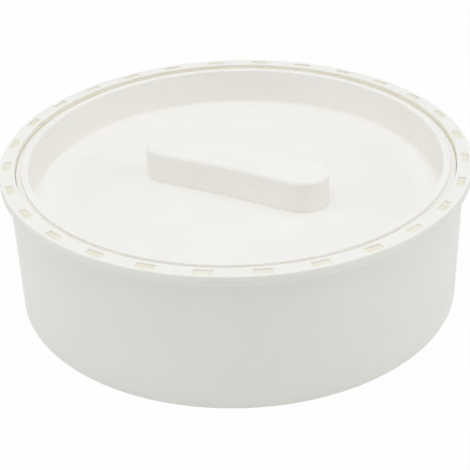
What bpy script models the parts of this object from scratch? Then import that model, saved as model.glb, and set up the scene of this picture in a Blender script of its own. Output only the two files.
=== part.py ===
# Round cheese mould, lined with nets, and the follower that presses the cheese.
#
# The vat is a turned moulding with a drained floor, ribs beneath and a flange round its mouth.
# A windowed ring closes the flange over the turned-out top of the side net. The follower is a
# dish with a bar handle, its own net beneath and a snap ring that runs in the side net. A guide
# rim near the top of the dish keeps it upright there.
# Metres, +Z up, with the origin on the table under the centre of the vat.

import math

import bmesh
import bpy
from mathutils import Matrix

# Fits
CLEARANCE = 0.0003          # between pieces that are clamped, snapped or rest on each other
SLIDE_CLEARANCE = 0.0003    # between the follower's edge ring and the side net
NET = 0.0010                # thickness of every net

# Vat
MOULD_HEIGHT = 0.100        # table to the top of the rim ring
WALL_TOP_RADIUS = 0.1546    # outside of the wall, under the flange
WALL_DRAFT = 0.0003         # how much smaller the wall's radius is at the table
WALL = 0.0032
FLANGE_WIDTH = 0.0054       # how far the flange stands out from the wall
FLANGE_THICKNESS = 0.0021
FLANGE_FILLET = 0.0015      # under the flange, against the wall
WALL_RIB = 0.0005           # how far the upright ribs stand in from the wall
WALL_RIB_WIDTH = 0.0030
BASE_ROUND = 0.0007         # rounding where the wall meets the table
FLOOR = 0.0050
FLOOR_RIB = 0.0010          # height of the ribs that lift the floor net
FOOT_HEIGHT = 0.0050        # from the table to the underside of the floor
FOOT_WIDTH = 0.0078         # foot ring, from the wall's outside in
UNDER_RIB_WIDTH = 0.0030
UNDER_RIB_LIFT = 0.0010     # the ribs beneath stop this far above the table
HUB_RADIUS = 0.0240
MIDDLE_RING_RADIUS = 0.0880
DRAIN_HOLE_RADIUS = 0.0020
FLOOR_RIBS = 14             # ribs on each side of the vat's floor and under the follower
WALL_RIBS = 28
INNER_DRAIN_RADIUS = 0.0560
OUTER_DRAIN_RADIUS = 0.1180
RIB_WIDTH = 0.0020
RIB_START = 0.0140          # distance of the ribs from the centre

# Rim ring
WINDOWS = 28
WINDOW_LENGTH = 0.0120      # along the rim
WINDOW_WIDTH = 0.0049       # across the rim
LIP_WIDTH = 0.0027          # from the mouth to the windows
LIP_SETBACK = 0.0002        # the lip stands this far back from the side net's face
RING_HEIGHT = 0.0043
RING_PLATE = 0.0008         # thickness of the flat part with the windows
RING_SKIRT = 0.0017         # thickness of the skirt outside the net's turned-out top
RING_SETBACK = 0.0003       # the ring's side stands this far back from the flange's
RING_EDGE_ROUND = 0.0010
RING_PHASE = math.radians(5.16)    # direction of the first window

# Nets
CORNER_RADIUS = 0.0060      # rounding that the corner and edge rings give the cheese
FEATHER = 0.0008            # thickness at the thin edges of those rings
NET_ROWS = 4                # rows of slots in each flat net
NET_FIRST_ROW = 0.0280      # distance of the first row from the centre
NET_MARGIN = 0.0170         # from the last row to the net's edge
NET_SLOT_LENGTH = 0.0180
NET_SLOT_WIDTH = 0.0036
NET_SLOT_PITCH = 0.0400
SIDE_ROWS = 2               # rows of upright slots in the side net, staggered
SIDE_SLOT_WIDTH = 0.0060
SIDE_SLOT_BRIDGE = 0.0080   # uncut band between rows, and at the top and bottom
STUD_HEAD_RADIUS = 0.0080
STUD_HEAD = 0.0015
STUD_SHANK_RADIUS = 0.0026

# Follower
FOLLOWER_GAP = 0.0041       # from the rim ring's lip to the dish's wall
FOLLOWER_DROP = 0.0010      # the dish's rim lies this far below the rim ring
DISH_DEPTH = 0.0265
DISH_WALL = 0.0050
DISH_FLOOR = 0.0050
DISH_FILLET = 0.0020
DISH_EDGE_ROUND = 0.0007
GUIDE_DROP = 0.0022         # the guide rim round the dish lies this far below the dish's rim
GUIDE_THICKNESS = 0.0020
FOLLOWER_RIB = 0.0010       # ribs under the dish that stand on the net
BAND_STEP = 0.0008          # the band that the edge ring snaps over stands out this far
BAND_HEIGHT = 0.0057
SNAP_LIP = 0.0012           # height of the edge ring's lip above the band

# Handle
HANDLE_LENGTH = 0.1370
HANDLE_WIDTH = 0.0355
HANDLE_WAIST = 0.0016       # how far each side draws in at the middle
HANDLE_HEIGHT = 0.0227
HANDLE_EDGE_ROUND = 0.0030
HANDLE_WALL = 0.0035
HANDLE_RIB = 0.0025
HANDLE_RIB_SPACING = 0.0560
HANDLE_ANGLE = math.radians(-28)
PEG_RADIUS = 0.0040
PEG_SPACING = 0.0880

# Facets
SEGMENTS = 2 * WINDOWS      # every window lies inside one facet of the ring
FACET = 2 * math.pi / SEGMENTS
STUD_SEGMENTS = 12
HOLE_SIDES = 6
OVERLAP = 0.0005            # how far a joined piece reaches into the piece that it joins
FLAT = math.radians(0.05)   # faces that turn less than this are one flat face

# Heights above the table
FLOOR_TOP = FOOT_HEIGHT + FLOOR
FLOOR_NET_BOTTOM = FLOOR_TOP + FLOOR_RIB + CLEARANCE
FLOOR_NET_TOP = FLOOR_NET_BOTTOM + NET
CORNER_BOTTOM = FLOOR_NET_TOP + CLEARANCE
RING_UNDERSIDE = MOULD_HEIGHT - RING_PLATE
SIDE_NET_TOP = RING_UNDERSIDE - CLEARANCE
SEAT_TOP = SIDE_NET_TOP - NET - CLEARANCE     # the raised part of the flange, under the net
FLANGE_TOP = MOULD_HEIGHT - RING_HEIGHT - CLEARANCE
DISH_FLOOR_TOP = MOULD_HEIGHT - FOLLOWER_DROP - DISH_DEPTH

# Radii, from the flange in
FLANGE_RADIUS = WALL_TOP_RADIUS + FLANGE_WIDTH
WALL_BASE_RADIUS = WALL_TOP_RADIUS - WALL_DRAFT
BORE_TOP_RADIUS = WALL_TOP_RADIUS - WALL
BORE_BASE_RADIUS = WALL_BASE_RADIUS - WALL
RIB_FACE_RADIUS = BORE_BASE_RADIUS - WALL_RIB
SIDE_NET_OUTER = RIB_FACE_RADIUS - CLEARANCE
SIDE_NET_INNER = SIDE_NET_OUTER - NET
CORNER_OUTER = SIDE_NET_INNER - CLEARANCE
LIP_RADIUS = SIDE_NET_INNER + LIP_SETBACK
RING_RADIUS = FLANGE_RADIUS - RING_SETBACK
SKIRT_INNER_RADIUS = RING_RADIUS - RING_SKIRT
SEAT_RADIUS = SKIRT_INNER_RADIUS - CLEARANCE
NET_TURN_OUT_RADIUS = SEAT_RADIUS - CLEARANCE
DISH_RADIUS = LIP_RADIUS - FOLLOWER_GAP
BAND_RADIUS = DISH_RADIUS + BAND_STEP
EDGE_RING_OUTER = SIDE_NET_INNER - SLIDE_CLEARANCE
GUIDE_RADIUS = EDGE_RING_OUTER
CUP_INNER_RADIUS = BAND_RADIUS + CLEARANCE
CUP_OUTER_RADIUS = CUP_INNER_RADIUS + NET

# Colours, sRGB
WHITE = (0.945, 0.945, 0.930)
WARM_WHITE = (0.935, 0.930, 0.905)
CREAM = (0.890, 0.860, 0.760)


def clear_scene():
    for obj in list(bpy.data.objects):
        bpy.data.objects.remove(obj, do_unlink=True)


def new_collection(name):
    collection = bpy.data.collections.new(name)
    bpy.context.scene.collection.children.link(collection)
    return collection


def to_linear(value):
    if value <= 0.04045:
        return value / 12.92
    return ((value + 0.055) / 1.055) ** 2.4


def plastic(name, colour, roughness):
    finish = bpy.data.materials.new(name)
    finish.use_nodes = True
    shader = finish.node_tree.nodes["Principled BSDF"]
    shader.inputs["Base Color"].default_value = (*[to_linear(value) for value in colour], 1.0)
    shader.inputs["Roughness"].default_value = roughness
    shader.inputs["Metallic"].default_value = 0.0
    return finish


def add_object(name, mesh, collection):
    obj = bpy.data.objects.new(name, mesh)
    collection.objects.link(obj)
    return obj


def hide_cutter(obj):
    obj.hide_render = True
    obj.display_type = "WIRE"
    return obj


def arc(radius, height, size, start, end, steps):
    """Points of an arc about (radius, height), from start to end in degrees."""
    angles = [math.radians(start + (end - start) * step / steps) for step in range(steps + 1)]
    return [(radius + size * math.cos(a), height + size * math.sin(a)) for a in angles]


def turned(name, outline, collection, closed=True, segments=SEGMENTS):
    """Turn (radius, height) points about Z. The outline runs down the outer side."""
    edges = [(index, index + 1) for index in range(len(outline) - 1)]
    if closed:
        edges.append((len(outline) - 1, 0))
    mesh = bpy.data.meshes.new(name)
    mesh.from_pydata([(radius, 0.0, height) for radius, height in outline], edges, [])
    obj = add_object(name, mesh, collection)
    screw = obj.modifiers.new("turn", "SCREW")
    screw.angle = 2 * math.pi
    screw.steps = segments
    screw.render_steps = segments
    screw.use_merge_vertices = True
    screw.merge_threshold = 0.00001
    return obj


def disc(name, radius, bottom, top, collection):
    """A round plate with as many sides as the turned pieces."""
    mesh = bpy.data.meshes.new(name)
    bm = bmesh.new()
    bmesh.ops.create_cone(
        bm, cap_ends=True, segments=SEGMENTS, radius1=radius, radius2=radius, depth=top - bottom,
        matrix=Matrix.Translation((0.0, 0.0, (bottom + top) / 2)))
    bm.to_mesh(mesh)
    bm.free()
    return add_object(name, mesh, collection)


def boolean(obj, other, operation):
    modifier = obj.modifiers.new(operation.lower(), "BOOLEAN")
    modifier.operation = operation
    modifier.solver = "EXACT"
    modifier.object = other


def settle(obj, finish):
    """Apply the modifiers, then shade the round faces smooth and keep the edges crisp."""
    depsgraph = bpy.context.evaluated_depsgraph_get()
    mesh = bpy.data.meshes.new_from_object(obj.evaluated_get(depsgraph))
    obj.modifiers.clear()
    obj.data = mesh
    mesh.name = obj.name
    mesh.shade_smooth()
    mesh.set_sharp_from_angle(angle=math.radians(35))
    mesh.materials.clear()
    mesh.materials.append(finish)
    return obj


def spoke(angle):
    return Matrix.Rotation(angle, 4, "Z")


def ring_of_boxes(name, count, length, width, bottom, top, radius, phase, cutters):
    """Boxes round Z: length along the radius, width across it, centred at radius."""
    bm = bmesh.new()
    for step in range(count):
        place = spoke(phase + 2 * math.pi * step / count)
        place @= Matrix.Translation((radius, 0.0, (bottom + top) / 2))
        place @= Matrix.Diagonal((length, width, top - bottom, 1.0))
        bmesh.ops.create_cube(bm, size=1.0, matrix=place)
    return cutter_from(name, bm, cutters)


def ring_of_pins(name, count, pin_radius, sides, bottom, top, radius, phase, cutters):
    """Upright pins round Z, one of them at the centre where radius is zero."""
    bm = bmesh.new()
    for step in range(count):
        place = spoke(phase + 2 * math.pi * step / count)
        place @= Matrix.Translation((radius, 0.0, (bottom + top) / 2))
        bmesh.ops.create_cone(
            bm, cap_ends=True, segments=sides, radius1=pin_radius, radius2=pin_radius,
            depth=top - bottom, matrix=place)
    return cutter_from(name, bm, cutters)


def cutter_from(name, bm, cutters):
    mesh = bpy.data.meshes.new(name)
    bm.to_mesh(mesh)
    bm.free()
    return hide_cutter(add_object(name, mesh, cutters))


def spokes(name, count, start, end, width, bottom, top, phase, cutters):
    """Radial bars from start to end."""
    return ring_of_boxes(name, count, end - start, width, bottom, top, (start + end) / 2, phase, cutters)


def tube(name, radius, width, bottom, top, segments, collection):
    """A ring of rectangular section, centred at radius."""
    outline = [
        (radius + width / 2, top),
        (radius + width / 2, bottom),
        (radius - width / 2, bottom),
        (radius - width / 2, top),
    ]
    return turned(name, outline, collection, segments=segments)


def mould_body(parts, cutters, finish):
    """The vat: wall, flange and foot turned in one, on a floor with ribs and drain holes."""
    foot_inner = WALL_BASE_RADIUS - FOOT_WIDTH
    flange_underside = FLANGE_TOP - FLANGE_THICKNESS
    mid_floor = FOOT_HEIGHT + FLOOR / 2
    outline = [
        (BORE_TOP_RADIUS, SEAT_TOP),
        (SEAT_RADIUS, SEAT_TOP),
        (SEAT_RADIUS, FLANGE_TOP),
        (FLANGE_RADIUS, FLANGE_TOP),
        (FLANGE_RADIUS, flange_underside + FLANGE_THICKNESS / 3),
        (FLANGE_RADIUS - FLANGE_THICKNESS / 3, flange_underside),
        (WALL_TOP_RADIUS + FLANGE_FILLET, flange_underside),
        (WALL_TOP_RADIUS, flange_underside - FLANGE_FILLET),
    ]
    outline += [
        (WALL_BASE_RADIUS, BASE_ROUND),
        (WALL_BASE_RADIUS - BASE_ROUND, 0.0),
        (foot_inner, 0.0),
        (foot_inner, mid_floor),
        (BORE_BASE_RADIUS, mid_floor),
    ]
    body = turned("mould_body", outline, parts)
    floor = hide_cutter(disc("floor", WALL_BASE_RADIUS - WALL / 2, FOOT_HEIGHT, FLOOR_TOP, cutters))

    ring_bottom = UNDER_RIB_LIFT + OVERLAP
    ring_root = FOOT_HEIGHT + 2 * OVERLAP
    middle_ring = hide_cutter(tube("middle_ring", MIDDLE_RING_RADIUS, UNDER_RIB_WIDTH, ring_bottom,
                                   ring_root, 2 * FLOOR_RIBS, cutters))
    hub = hide_cutter(tube("hub", HUB_RADIUS, UNDER_RIB_WIDTH, ring_bottom, ring_root,
                           2 * FLOOR_RIBS, cutters))
    under_ribs = spokes("under_ribs", FLOOR_RIBS, HUB_RADIUS, foot_inner + OVERLAP, UNDER_RIB_WIDTH,
                        UNDER_RIB_LIFT, FOOT_HEIGHT + OVERLAP, 0.0, cutters)
    floor_ribs = spokes("floor_ribs", FLOOR_RIBS, RIB_START, BORE_BASE_RADIUS + OVERLAP, RIB_WIDTH,
                        FLOOR_TOP - OVERLAP, FLOOR_TOP + FLOOR_RIB, 0.0, cutters)
    wall_ribs = spokes("wall_ribs", WALL_RIBS, RIB_FACE_RADIUS, BORE_TOP_RADIUS + OVERLAP,
                       WALL_RIB_WIDTH, FLOOR_TOP - 2 * OVERLAP, SEAT_TOP - OVERLAP, 0.0, cutters)
    inner_drains = ring_of_pins("inner_drains", FLOOR_RIBS, DRAIN_HOLE_RADIUS, HOLE_SIDES, 0.0,
                                FLOOR_NET_TOP, INNER_DRAIN_RADIUS, math.pi / FLOOR_RIBS, cutters)
    outer_drains = ring_of_pins("outer_drains", 2 * FLOOR_RIBS, DRAIN_HOLE_RADIUS, HOLE_SIDES, 0.0,
                                FLOOR_NET_TOP, OUTER_DRAIN_RADIUS, math.pi / FLOOR_RIBS / 2, cutters)
    stud_hole = ring_of_pins("body_stud_hole", 1, STUD_SHANK_RADIUS + CLEARANCE, STUD_SEGMENTS,
                             0.0, FLOOR_NET_TOP, 0.0, 0.0, cutters)
    for added in (floor, middle_ring, hub, under_ribs, floor_ribs, wall_ribs):
        boolean(body, added, "UNION")
    for holes in (inner_drains, outer_drains, stud_hole):
        boolean(body, holes, "DIFFERENCE")
    return settle(body, finish)


def rim_ring(parts, cutters, finish):
    """The ring that clamps the side net on the flange, with a row of windows."""
    edge = RING_EDGE_ROUND
    lip_edge = RING_EDGE_ROUND / 2
    outline = arc(RING_RADIUS - edge, MOULD_HEIGHT - edge, edge, 90, 0, 2)
    outline += [
        (RING_RADIUS, MOULD_HEIGHT - RING_HEIGHT),
        (SKIRT_INNER_RADIUS, MOULD_HEIGHT - RING_HEIGHT),
        (SKIRT_INNER_RADIUS, RING_UNDERSIDE),
        (LIP_RADIUS, RING_UNDERSIDE),
        (LIP_RADIUS, MOULD_HEIGHT - lip_edge),
        (LIP_RADIUS + lip_edge, MOULD_HEIGHT),
    ]
    ring = turned("rim_ring", outline, parts)
    window_radius = LIP_RADIUS + LIP_WIDTH + WINDOW_WIDTH / 2
    windows = ring_of_boxes("windows", WINDOWS, WINDOW_WIDTH, WINDOW_LENGTH, RING_UNDERSIDE - NET,
                            MOULD_HEIGHT + NET, window_radius, FACET / 2, cutters)
    boolean(ring, windows, "DIFFERENCE")
    settle(ring, finish)
    ring.rotation_euler.z = RING_PHASE - FACET / 2
    return ring


def side_net(parts, cutters, finish):
    """The sleeve inside the wall, turned out at the top and cut with upright drain slots."""
    outline = [
        (NET_TURN_OUT_RADIUS, SIDE_NET_TOP),
        (NET_TURN_OUT_RADIUS, SIDE_NET_TOP - NET),
        (SIDE_NET_OUTER, SIDE_NET_TOP - NET),
        (SIDE_NET_OUTER, CORNER_BOTTOM),
        (SIDE_NET_INNER, CORNER_BOTTOM),
        (SIDE_NET_INNER, SIDE_NET_TOP),
    ]
    net = turned("side_net", outline, parts)
    lowest = CORNER_BOTTOM + CORNER_RADIUS + SIDE_SLOT_BRIDGE
    highest = SIDE_NET_TOP - NET - SIDE_SLOT_BRIDGE
    slot_height = (highest - lowest - (SIDE_ROWS - 1) * SIDE_SLOT_BRIDGE) / SIDE_ROWS
    for row in range(SIDE_ROWS):
        bottom = lowest + row * (slot_height + SIDE_SLOT_BRIDGE)
        slots = ring_of_boxes(f"side_slots_{row}", WALL_RIBS, 6 * NET, SIDE_SLOT_WIDTH, bottom,
                              bottom + slot_height, SIDE_NET_INNER, FACET * (row + 0.5), cutters)
        boolean(net, slots, "DIFFERENCE")
    return settle(net, finish)


def cut_flat_net(net, edge_radius, bottom, top, cutters):
    """Cut rings of slots and the stud's hole through the flat part of a net."""
    row_gap = (edge_radius - NET_MARGIN - NET_FIRST_ROW) / (NET_ROWS - 1)
    for row in range(NET_ROWS):
        radius = NET_FIRST_ROW + row * row_gap
        count = int(2 * math.pi * radius / NET_SLOT_PITCH)
        slots = ring_of_boxes(f"{net.name}_slots_{row}", count, NET_SLOT_WIDTH, NET_SLOT_LENGTH,
                              bottom - NET, top + NET, radius, FACET / 2, cutters)
        boolean(net, slots, "DIFFERENCE")
    hole = ring_of_pins(f"{net.name}_stud_hole", 1, STUD_SHANK_RADIUS + CLEARANCE, STUD_SEGMENTS,
                        bottom - NET, top + NET, 0.0, 0.0, cutters)
    boolean(net, hole, "DIFFERENCE")


def floor_net(parts, cutters, finish):
    """The disc that lies on the floor's ribs. Its margin carries the side net and the corner ring."""
    net = disc("floor_net", SIDE_NET_OUTER, FLOOR_NET_BOTTOM, FLOOR_NET_TOP, parts)
    cut_flat_net(net, SIDE_NET_OUTER, FLOOR_NET_BOTTOM, FLOOR_NET_TOP, cutters)
    return settle(net, finish)


def corner_ring(parts, finish):
    """The hollow-sided ring in the corner of the vat, which rounds the cheese's lower edge."""
    arc_radius = CORNER_OUTER - FEATHER - CORNER_RADIUS
    arc_height = CORNER_BOTTOM + FEATHER + CORNER_RADIUS
    outline = [(CORNER_OUTER, arc_height), (CORNER_OUTER, CORNER_BOTTOM), (arc_radius, CORNER_BOTTOM)]
    outline += arc(arc_radius, arc_height, CORNER_RADIUS, -90, 0, 3)
    return settle(turned("corner_ring", outline, parts), finish)


def net_stud(name, grip, parts, finish):
    """A rivet stud. Its broad head is at the top and grip is the length between the heads."""
    tail_radius = STUD_HEAD_RADIUS / 2
    outline = [
        (0.0, grip + STUD_HEAD),
        (STUD_HEAD_RADIUS / 2, grip + STUD_HEAD),
        (STUD_HEAD_RADIUS, grip),
        (STUD_SHANK_RADIUS, grip),
        (STUD_SHANK_RADIUS, 0.0),
        (tail_radius, 0.0),
        (STUD_SHANK_RADIUS, -STUD_HEAD),
        (0.0, -STUD_HEAD),
    ]
    return settle(turned(name, outline, parts, closed=False, segments=STUD_SEGMENTS), finish)


def follower_plate(parts, cutters, finish):
    """The dish. Heights are from its floor, so its own origin is on the slide's axis."""
    inner_radius = DISH_RADIUS - DISH_WALL
    edge = DISH_EDGE_ROUND
    guide_top = DISH_DEPTH - GUIDE_DROP
    outline = [(0.0, 0.0)]
    outline += arc(inner_radius - DISH_FILLET, DISH_FILLET, DISH_FILLET, -90, 0, 3)
    outline += [
        (inner_radius, DISH_DEPTH - edge),
        (inner_radius + edge, DISH_DEPTH),
    ]
    outline += arc(DISH_RADIUS - edge, DISH_DEPTH - edge, edge, 90, 0, 2)
    outline += [
        (DISH_RADIUS, guide_top),
        (GUIDE_RADIUS, guide_top),
        (GUIDE_RADIUS, guide_top - GUIDE_THICKNESS),
        (DISH_RADIUS, guide_top - GUIDE_THICKNESS),
        (DISH_RADIUS, BAND_HEIGHT - DISH_FLOOR),
        (BAND_RADIUS, BAND_HEIGHT - DISH_FLOOR),
        (BAND_RADIUS, -DISH_FLOOR),
        (0.0, -DISH_FLOOR),
    ]
    plate = turned("follower_plate", outline, parts, closed=False)
    ribs = spokes("follower_ribs", FLOOR_RIBS, RIB_START, BAND_RADIUS - CLEARANCE, RIB_WIDTH,
                  -DISH_FLOOR - FOLLOWER_RIB, -DISH_FLOOR + OVERLAP, 0.0, cutters)
    boolean(plate, ribs, "UNION")
    peg_holes = ring_of_pins("peg_holes", 2, PEG_RADIUS + CLEARANCE, STUD_SEGMENTS, -2 * DISH_FLOOR,
                             DISH_FLOOR, PEG_SPACING / 2, HANDLE_ANGLE, cutters)
    stud_hole = ring_of_pins("plate_stud_hole", 1, STUD_SHANK_RADIUS + CLEARANCE, STUD_SEGMENTS,
                             -2 * DISH_FLOOR, DISH_FLOOR, 0.0, 0.0, cutters)
    boolean(plate, peg_holes, "DIFFERENCE")
    boolean(plate, stud_hole, "DIFFERENCE")
    return settle(plate, finish)


def follower_net(parts, cutters, finish):
    """A shallow cup of net: its floor lies under the ribs and its side wraps the band."""
    floor_top = -DISH_FLOOR - FOLLOWER_RIB - CLEARANCE
    floor_bottom = floor_top - NET
    side_top = BAND_HEIGHT - DISH_FLOOR - CLEARANCE
    net = disc("follower_net", CUP_OUTER_RADIUS, floor_bottom, side_top, parts)
    inside = hide_cutter(disc("cup_inside", CUP_INNER_RADIUS, floor_top, side_top + NET, cutters))
    boolean(net, inside, "DIFFERENCE")
    cut_flat_net(net, CUP_OUTER_RADIUS, floor_bottom, floor_top, cutters)
    return settle(net, finish)


def follower_edge_ring(parts, finish):
    """The ring that snaps over the band, clamps the net and rounds the cheese's upper edge."""
    inner_radius = CUP_OUTER_RADIUS + CLEARANCE
    lip_radius = DISH_RADIUS + CLEARANCE
    lip_bottom = BAND_HEIGHT - DISH_FLOOR + CLEARANCE
    lip_top = lip_bottom + SNAP_LIP
    toe_top = -DISH_FLOOR - FOLLOWER_RIB - NET - 2 * CLEARANCE
    arc_radius = EDGE_RING_OUTER - FEATHER - CORNER_RADIUS
    arc_height = toe_top - FEATHER - CORNER_RADIUS
    outline = [
        (lip_radius, lip_top),
        (EDGE_RING_OUTER, lip_top),
        (EDGE_RING_OUTER, arc_height),
    ]
    outline += arc(arc_radius, arc_height, CORNER_RADIUS, 0, 90, 3)
    outline += [
        (arc_radius, toe_top),
        (inner_radius, toe_top),
        (inner_radius, lip_bottom),
        (lip_radius, lip_bottom),
    ]
    return settle(turned("follower_edge_ring", outline, parts), finish)


def bar(name, inset, bottom, top, collection):
    """A round-ended, waisted bar as a mesh, drawn in by inset all round."""
    half_length = HANDLE_LENGTH / 2 - inset
    end_radius = HANDLE_WIDTH / 2 - inset
    half_waist = end_radius - HANDLE_WAIST
    straight = half_length - end_radius
    round_pull = end_radius * 4 / 3 * math.tan(math.pi / 8)
    waist_pull = straight / 3
    knots = [
        ((half_length, 0.0), (0.0, 1.0), round_pull, round_pull),
        ((straight, end_radius), (-1.0, 0.0), round_pull, waist_pull),
        ((0.0, half_waist), (-1.0, 0.0), waist_pull, waist_pull),
        ((-straight, end_radius), (-1.0, 0.0), waist_pull, round_pull),
        ((-half_length, 0.0), (0.0, -1.0), round_pull, round_pull),
        ((-straight, -end_radius), (1.0, 0.0), round_pull, waist_pull),
        ((0.0, -half_waist), (1.0, 0.0), waist_pull, waist_pull),
        ((straight, -end_radius), (1.0, 0.0), waist_pull, round_pull),
    ]
    curve = bpy.data.curves.new(name, "CURVE")
    curve.dimensions = "2D"
    curve.fill_mode = "BOTH"
    curve.extrude = (top - bottom) / 2
    curve.resolution_u = 5
    spline = curve.splines.new("BEZIER")
    spline.bezier_points.add(len(knots) - 1)
    spline.use_cyclic_u = True
    for point, (place, heading, pull_in, pull_out) in zip(spline.bezier_points, knots):
        point.handle_left_type = "FREE"
        point.handle_right_type = "FREE"
        point.co = (*place, 0.0)
        point.handle_left = (place[0] - heading[0] * pull_in, place[1] - heading[1] * pull_in, 0.0)
        point.handle_right = (place[0] + heading[0] * pull_out, place[1] + heading[1] * pull_out, 0.0)
    drawn = add_object(name + "_outline", curve, collection)
    drawn.location.z = (top + bottom) / 2
    bpy.context.view_layer.update()
    depsgraph = bpy.context.evaluated_depsgraph_get()
    mesh = bpy.data.meshes.new_from_object(drawn.evaluated_get(depsgraph))
    mesh.name = name
    bm = bmesh.new()
    bm.from_mesh(mesh)
    bmesh.ops.remove_doubles(bm, verts=bm.verts, dist=0.000001)
    bmesh.ops.dissolve_limit(bm, angle_limit=FLAT, verts=bm.verts, edges=bm.edges)
    bmesh.ops.transform(bm, matrix=drawn.matrix_world, verts=bm.verts)
    bm.to_mesh(mesh)
    bm.free()
    bpy.data.objects.remove(drawn)
    return add_object(name, mesh, collection)


def round_top(obj, top, radius):
    """Round the edge between the flat top and the sides."""
    bm = bmesh.new()
    bm.from_mesh(obj.data)
    edges = [edge for edge in bm.edges if all(abs(vert.co.z - top) < OVERLAP for vert in edge.verts)]
    bmesh.ops.bevel(bm, geom=edges, offset=radius, segments=3, profile=0.5, affect="EDGES")
    bm.to_mesh(obj.data)
    bm.free()


def follower_handle(parts, cutters, finish):
    """The bar handle: cored from below, with two cross ribs and two pegs for the dish's holes."""
    bottom = CLEARANCE
    top = HANDLE_HEIGHT
    roof = top - HANDLE_WALL
    handle = bar("follower_handle", 0.0, bottom, top, parts)
    round_top(handle, top, HANDLE_EDGE_ROUND)
    core = hide_cutter(bar("handle_core", HANDLE_WALL, bottom - DISH_FLOOR, roof, cutters))
    ribs = ring_of_boxes("handle_ribs", 2, HANDLE_RIB, HANDLE_WIDTH, bottom + CLEARANCE,
                         top, HANDLE_RIB_SPACING / 2, 0.0, cutters)
    bosses = ring_of_pins("handle_bosses", 2, PEG_RADIUS, STUD_SEGMENTS, bottom + CLEARANCE,
                          top, PEG_SPACING / 2, 0.0, cutters)
    pegs = ring_of_pins("handle_pegs", 2, PEG_RADIUS, STUD_SEGMENTS, CLEARANCE - DISH_FLOOR,
                        bottom + CLEARANCE + OVERLAP, PEG_SPACING / 2, 0.0, cutters)
    boolean(core, ribs, "DIFFERENCE")
    boolean(core, bosses, "DIFFERENCE")
    boolean(handle, core, "DIFFERENCE")
    boolean(handle, pegs, "UNION")
    settle(handle, finish)
    handle.rotation_euler.z = HANDLE_ANGLE
    return handle


def build():
    clear_scene()
    parts = new_collection("cheese_mould")
    cutters = new_collection("cutters")
    body_plastic = plastic("vat_white_plastic", WHITE, 0.42)
    ring_plastic = plastic("rim_white_plastic", WHITE, 0.40)
    clamp_plastic = plastic("clamp_white_plastic", WARM_WHITE, 0.45)
    dish_plastic = plastic("dish_white_plastic", WHITE, 0.42)
    handle_plastic = plastic("handle_white_plastic", WHITE, 0.38)
    net_plastic = plastic("cream_net", CREAM, 0.55)

    mould_body(parts, cutters, body_plastic)
    rim_ring(parts, cutters, ring_plastic)
    side_net(parts, cutters, net_plastic)
    floor_net(parts, cutters, net_plastic)
    corner_ring(parts, clamp_plastic)
    floor_stud = net_stud("floor_net_stud", CORNER_BOTTOM - FOOT_HEIGHT + CLEARANCE, parts, clamp_plastic)
    floor_stud.location.z = FOOT_HEIGHT - CLEARANCE

    follower = bpy.data.objects.new("follower", None)
    follower.location.z = DISH_FLOOR_TOP
    parts.objects.link(follower)
    stud_grip = DISH_FLOOR + FOLLOWER_RIB + NET + 3 * CLEARANCE
    stud = net_stud("follower_net_stud", stud_grip, parts, clamp_plastic)
    stud.rotation_euler.x = math.pi
    stud.location.z = CLEARANCE
    moving = [
        follower_plate(parts, cutters, dish_plastic),
        follower_handle(parts, cutters, handle_plastic),
        follower_net(parts, cutters, net_plastic),
        follower_edge_ring(parts, clamp_plastic),
        stud,
    ]
    for piece in moving:
        piece.parent = follower


build()
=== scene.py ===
# Round cheese mould with its follower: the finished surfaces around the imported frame.
# Metres, +Z up, with the origin on the table under the centre of the vat.
import math

import bmesh
import bpy
from mathutils import Matrix, Vector


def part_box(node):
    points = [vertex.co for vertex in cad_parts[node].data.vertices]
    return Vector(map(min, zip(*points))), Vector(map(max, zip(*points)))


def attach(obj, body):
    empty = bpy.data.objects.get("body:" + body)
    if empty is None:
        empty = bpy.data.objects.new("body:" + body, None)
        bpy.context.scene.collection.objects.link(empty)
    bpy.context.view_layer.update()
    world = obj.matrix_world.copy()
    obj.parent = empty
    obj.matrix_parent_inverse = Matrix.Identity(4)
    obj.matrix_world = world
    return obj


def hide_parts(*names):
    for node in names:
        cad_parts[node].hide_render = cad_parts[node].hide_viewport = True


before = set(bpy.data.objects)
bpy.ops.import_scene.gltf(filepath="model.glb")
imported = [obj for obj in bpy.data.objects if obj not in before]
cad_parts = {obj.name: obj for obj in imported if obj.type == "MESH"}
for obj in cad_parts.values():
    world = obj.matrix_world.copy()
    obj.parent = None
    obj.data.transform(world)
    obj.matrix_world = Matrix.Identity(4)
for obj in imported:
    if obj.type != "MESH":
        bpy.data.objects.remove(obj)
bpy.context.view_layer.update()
millimetre = 0.001
fullTurn = 2 * math.pi
clearance = 0.3 * millimetre   # between pieces that are clamped or rest on each other
netThickness = 1.0 * millimetre
samePoint = 0.001 * millimetre   # points closer than this are one
roundSteps = 224   # flats in a large turned piece


# Colours, nodes and patterns

def hexToLinear(code):
    shares = [int(code[start:start + 2], 16) / 255 for start in (1, 3, 5)]
    linear = [share / 12.92 if share <= 0.04045 else ((share + 0.055) / 1.055) ** 2.4
              for share in shares]
    return (*linear, 1.0)


def addNode(tree, kind, settings=None, links=None):
    # Settings name a socket or a property, and links give the socket that feeds each input
    node = tree.nodes.new(kind)
    for key, value in (settings or {}).items():
        if isinstance(key, int) or key in node.inputs:
            node.inputs[key].default_value = value
        else:
            setattr(node, key, value)
    for key, source in (links or {}).items():
        tree.links.new(source, node.inputs[key])
    return node


def perMetre(size):
    # Pattern scale for features of this size in millimetres
    return 1.0 / (size * millimetre)


def newMaterial(name):
    material = bpy.data.materials.new(name)
    material.use_nodes = True
    material.node_tree.nodes.clear()
    return material, material.node_tree


noiseSpan = {"From Min": 0.35, "From Max": 0.65}   # nearly all of a noise lies in here


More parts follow.
